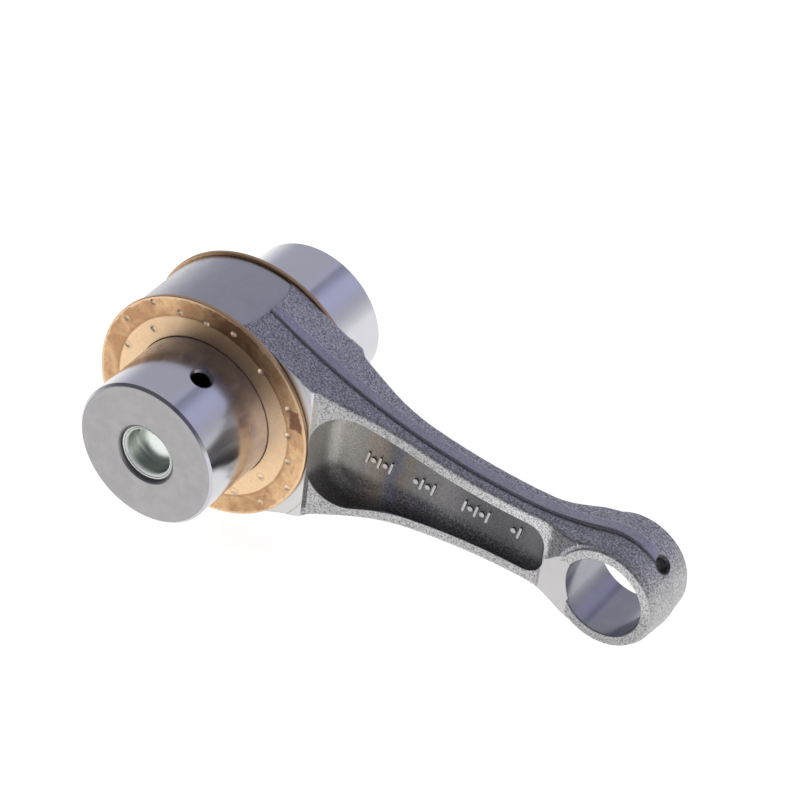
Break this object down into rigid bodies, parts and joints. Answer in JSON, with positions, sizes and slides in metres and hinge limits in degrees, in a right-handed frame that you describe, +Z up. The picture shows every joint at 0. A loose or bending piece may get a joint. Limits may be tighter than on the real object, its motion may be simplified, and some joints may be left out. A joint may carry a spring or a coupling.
{
  "type": "connecting rod",
  "caption": "Forged I-beam connecting rod with a hollow pressed-in crank pin, a caged needle-roller big-end bearing and dimpled bronze thrust washers.",
  "frame": {"origin": "centre of the small-end bore, midway between its two faces", "axes": "+Y along both bores, from the plugged face of the crank pin to its plain face; +Z straight up with the kit lying on a level surface on its thrust washers and small end; +X level, from the big end towards the small end"},
  "size_m": [0.1408, 0.0664, 0.055],
  "materials": {
    "forged_steel": "shot-cleaned forging, grey with a fine grain, with bright machined faces, crown and bores",
    "ground_pin_steel": "hardened and ground, nearly mirror bright on the outside",
    "zinc_plate": "bright zinc plate on a pressed cup",
    "bronze": "satin bronze sheet with tarnished patches",
    "cage_steel": "plain machined steel cage",
    "roller_steel": "polished bearing steel"
  },
  "bodies": {
    "rod": {"connecting_rod": "forged_steel"},
    "crank_pin": {"crank_pin": "ground_pin_steel", "oil_plug": "zinc_plate"},
    "roller_cage": {"roller_cage": "cage_steel"},
    "front_thrust_washer": {"front_thrust_washer": "bronze"},
    "rear_thrust_washer": {"rear_thrust_washer": "bronze"},
    "roller_01": {"roller_01": "roller_steel"},
    "roller_02": {"roller_02": "roller_steel"},
    "roller_03": {"roller_03": "roller_steel"},
    "roller_04": {"roller_04": "roller_steel"},
    "roller_05": {"roller_05": "roller_steel"},
    "roller_06": {"roller_06": "roller_steel"},
    "roller_07": {"roller_07": "roller_steel"},
    "roller_08": {"roller_08": "roller_steel"},
    "roller_09": {"roller_09": "roller_steel"},
    "roller_10": {"roller_10": "roller_steel"},
    "roller_11": {"roller_11": "roller_steel"},
    "roller_12": {"roller_12": "roller_steel"},
    "roller_13": {"roller_13": "roller_steel"},
    "roller_14": {"roller_14": "roller_steel"},
    "roller_15": {"roller_15": "roller_steel"},
    "roller_16": {"roller_16": "roller_steel"},
    "roller_17": {"roller_17": "roller_steel"},
    "roller_18": {"roller_18": "roller_steel"}
  },
  "joints": [
    {"name": "crank_pin_spin", "type": "hinge", "parent": "rod", "child": "crank_pin", "pos_m": [-0.10031, 0, 0.0141], "axis": [0, 1, 0], "continuous": true},
    {"name": "roller_cage_spin", "type": "hinge", "parent": "rod", "child": "roller_cage", "pos_m": [-0.10031, 0, 0.0141], "axis": [0, 1, 0], "continuous": true},
    {"name": "front_thrust_washer_spin", "type": "hinge", "parent": "rod", "child": "front_thrust_washer", "pos_m": [-0.10031, -0.0103, 0.0141], "axis": [0, 1, 0], "continuous": true},
    {"name": "rear_thrust_washer_spin", "type": "hinge", "parent": "rod", "child": "rear_thrust_washer", "pos_m": [-0.10031, 0.0103, 0.0141], "axis": [0, 1, 0], "continuous": true},
    {"name": "roller_01_spin", "type": "hinge", "parent": "roller_cage", "child": "roller_01", "pos_m": [-0.08105, 0, 0.01477], "axis": [0, 1, 0], "continuous": true},
    {"name": "roller_02_spin", "type": "hinge", "parent": "roller_cage", "child": "roller_02", "pos_m": [-0.08244, 0, 0.02132], "axis": [0, 1, 0], "continuous": true},
    {"name": "roller_03_spin", "type": "hinge", "parent": "roller_cage", "child": "roller_03", "pos_m": [-0.08599, 0, 0.027], "axis": [0, 1, 0], "continuous": true},
    {"name": "roller_04_spin", "type": "hinge", "parent": "roller_cage", "child": "roller_04", "pos_m": [-0.09126, 0, 0.03112], "axis": [0, 1, 0], "continuous": true},
    {"name": "roller_05_spin", "type": "hinge", "parent": "roller_cage", "child": "roller_05", "pos_m": [-0.09763, 0, 0.03319], "axis": [0, 1, 0], "continuous": true},
    {"name": "roller_06_spin", "type": "hinge", "parent": "roller_cage", "child": "roller_06", "pos_m": [-0.10432, 0, 0.03295], "axis": [0, 1, 0], "continuous": true},
    {"name": "roller_07_spin", "type": "hinge", "parent": "roller_cage", "child": "roller_07", "pos_m": [-0.11053, 0, 0.03045], "axis": [0, 1, 0], "continuous": true},
    {"name": "roller_08_spin", "type": "hinge", "parent": "roller_cage", "child": "roller_08", "pos_m": [-0.1155, 0, 0.02597], "axis": [0, 1, 0], "continuous": true},
    {"name": "roller_09_spin", "type": "hinge", "parent": "roller_cage", "child": "roller_09", "pos_m": [-0.11865, 0, 0.02006], "axis": [0, 1, 0], "continuous": true},
    {"name": "roller_10_spin", "type": "hinge", "parent": "roller_cage", "child": "roller_10", "pos_m": [-0.11958, 0, 0.01343], "axis": [0, 1, 0], "continuous": true},
    {"name": "roller_11_spin", "type": "hinge", "parent": "roller_cage", "child": "roller_11", "pos_m": [-0.11819, 0, 0.00688], "axis": [0, 1, 0], "continuous": true},
    {"name": "roller_12_spin", "type": "hinge", "parent": "roller_cage", "child": "roller_12", "pos_m": [-0.11464, 0, 0.0012], "axis": [0, 1, 0], "continuous": true},
    {"name": "roller_13_spin", "type": "hinge", "parent": "roller_cage", "child": "roller_13", "pos_m": [-0.10936, 0, -0.00292], "axis": [0, 1, 0], "continuous": true},
    {"name": "roller_14_spin", "type": "hinge", "parent": "roller_cage", "child": "roller_14", "pos_m": [-0.103, 0, -0.00499], "axis": [0, 1, 0], "continuous": true},
    {"name": "roller_15_spin", "type": "hinge", "parent": "roller_cage", "child": "roller_15", "pos_m": [-0.09631, 0, -0.00475], "axis": [0, 1, 0], "continuous": true},
    {"name": "roller_16_spin", "type": "hinge", "parent": "roller_cage", "child": "roller_16", "pos_m": [-0.0901, 0, -0.00225], "axis": [0, 1, 0], "continuous": true},
    {"name": "roller_17_spin", "type": "hinge", "parent": "roller_cage", "child": "roller_17", "pos_m": [-0.08513, 0, 0.00223], "axis": [0, 1, 0], "continuous": true},
    {"name": "roller_18_spin", "type": "hinge", "parent": "roller_cage", "child": "roller_18", "pos_m": [-0.08198, 0, 0.00814], "axis": [0, 1, 0], "continuous": true}
  ],
  "couplings": [
    {"joint": "roller_cage_spin", "follows": "crank_pin_spin", "ratio": 0.45396},
    {"joint": "roller_01_spin", "follows": "crank_pin_spin", "ratio": -5.3835},
    {"joint": "roller_02_spin", "follows": "crank_pin_spin", "ratio": -5.3835},
    {"joint": "roller_03_spin", "follows": "crank_pin_spin", "ratio": -5.3835},
    {"joint": "roller_04_spin", "follows": "crank_pin_spin", "ratio": -5.3835},
    {"joint": "roller_05_spin", "follows": "crank_pin_spin", "ratio": -5.3835},
    {"joint": "roller_06_spin", "follows": "crank_pin_spin", "ratio": -5.3835},
    {"joint": "roller_07_spin", "follows": "crank_pin_spin", "ratio": -5.3835},
    {"joint": "roller_08_spin", "follows": "crank_pin_spin", "ratio": -5.3835},
    {"joint": "roller_09_spin", "follows": "crank_pin_spin", "ratio": -5.3835},
    {"joint": "roller_10_spin", "follows": "crank_pin_spin", "ratio": -5.3835},
    {"joint": "roller_11_spin", "follows": "crank_pin_spin", "ratio": -5.3835},
    {"joint": "roller_12_spin", "follows": "crank_pin_spin", "ratio": -5.3835},
    {"joint": "roller_13_spin", "follows": "crank_pin_spin", "ratio": -5.3835},
    {"joint": "roller_14_spin", "follows": "crank_pin_spin", "ratio": -5.3835},
    {"joint": "roller_15_spin", "follows": "crank_pin_spin", "ratio": -5.3835},
    {"joint": "roller_16_spin", "follows": "crank_pin_spin", "ratio": -5.3835},
    {"joint": "roller_17_spin", "follows": "crank_pin_spin", "ratio": -5.3835},
    {"joint": "roller_18_spin", "follows": "crank_pin_spin", "ratio": -5.3835}
  ]
}
